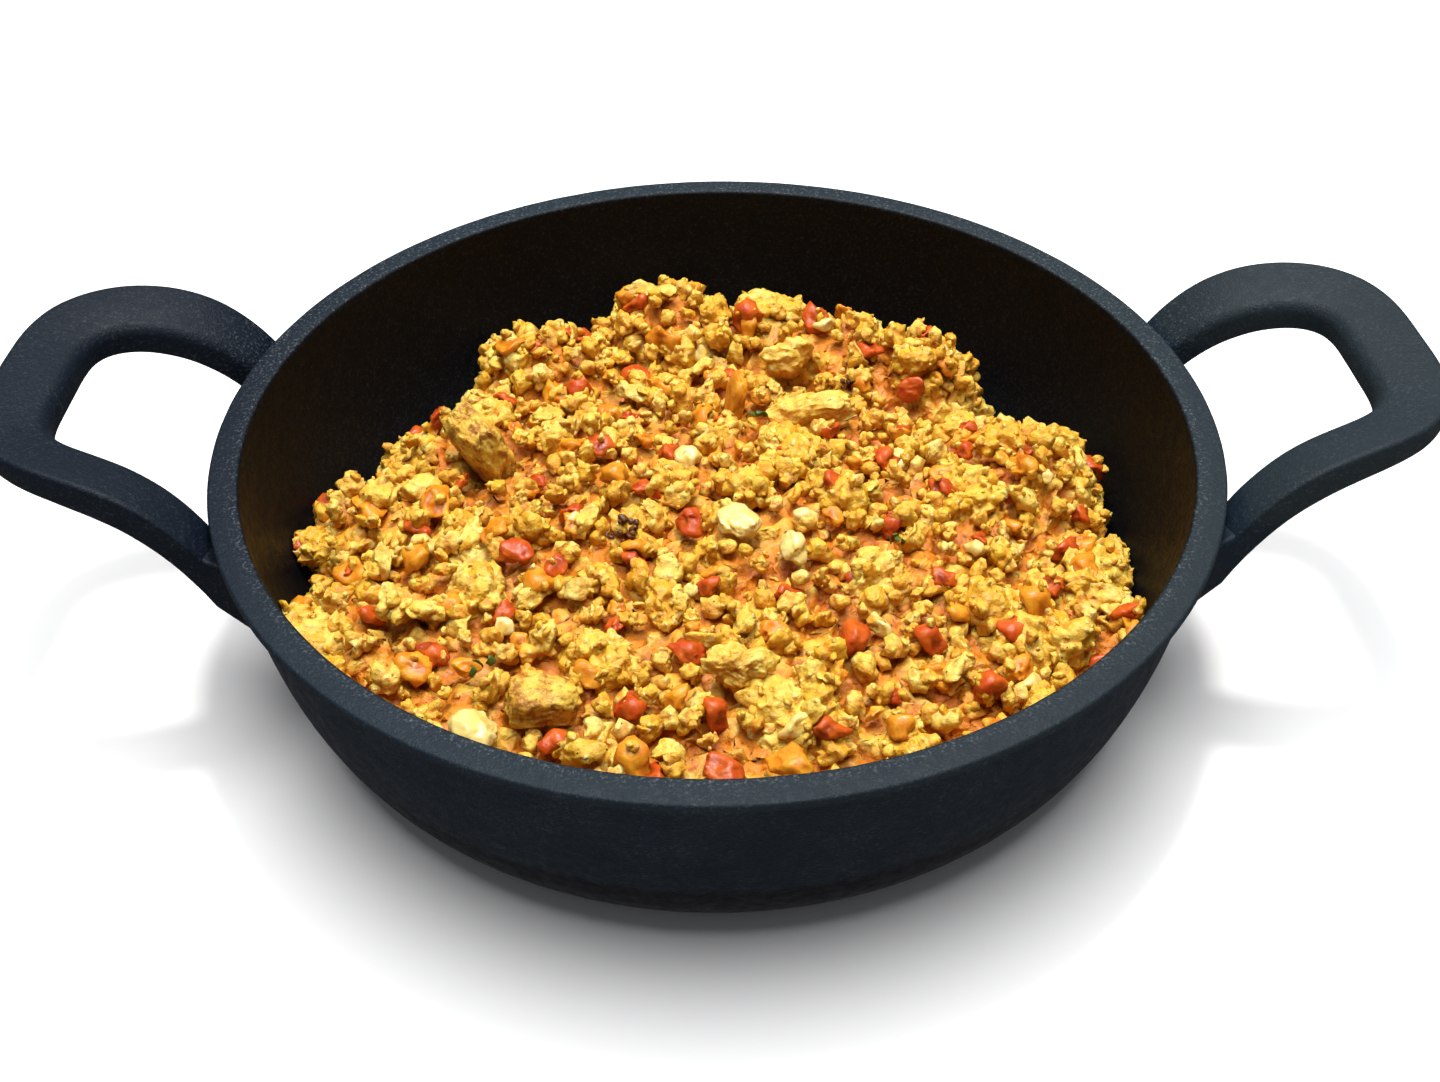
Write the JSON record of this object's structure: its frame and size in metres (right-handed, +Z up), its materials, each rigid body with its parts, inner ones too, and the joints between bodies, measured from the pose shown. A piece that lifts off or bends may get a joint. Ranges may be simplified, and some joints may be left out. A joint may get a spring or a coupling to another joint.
{
  "type": "pan of scrambled egg shakshuka",
  "caption": "Round cast iron pan with two loop handles, filled with a loose heap of scrambled egg, tomato and pepper.",
  "frame": {"origin": "centre of the pan's flat base, on the surface it stands on", "axes": "+X along the line through the two loop handles, +Z up"},
  "size_m": [0.335, 0.24, 0.0755],
  "materials": {
    "cast_iron": "sand-cast, seasoned blue-black, darker and browner inside",
    "egg": "moist crumbly scrambled egg, creamy yellow with orange tint",
    "egg_white": "smooth set egg white, cream",
    "egg_browned": "smooth fried egg with golden brown patches",
    "tomato": "wet cooked tomato, red",
    "pepper": "wet cooked pepper, orange, charred at its edges"
  },
  "bodies": {
    "root": {"pan": "cast_iron", "egg_scramble": "egg", "egg_slab_browned": "egg_browned", "egg_roll": "egg", "egg_fold_back": "egg", "egg_slab_front": "egg_browned", "egg_curd_front": "egg", "egg_fold_left": "egg", "egg_white_front": "egg_white", "egg_white_centre": "egg_white", "egg_white_long": "egg_white", "pepper_strip": "pepper", "pepper_front": "pepper", "pepper_disc": "pepper", "tomato_centre": "tomato", "tomato_left": "tomato", "tomato_back": "tomato", "tomato_front": "tomato", "tomato_right": "tomato"}
  },
  "joints": []
}
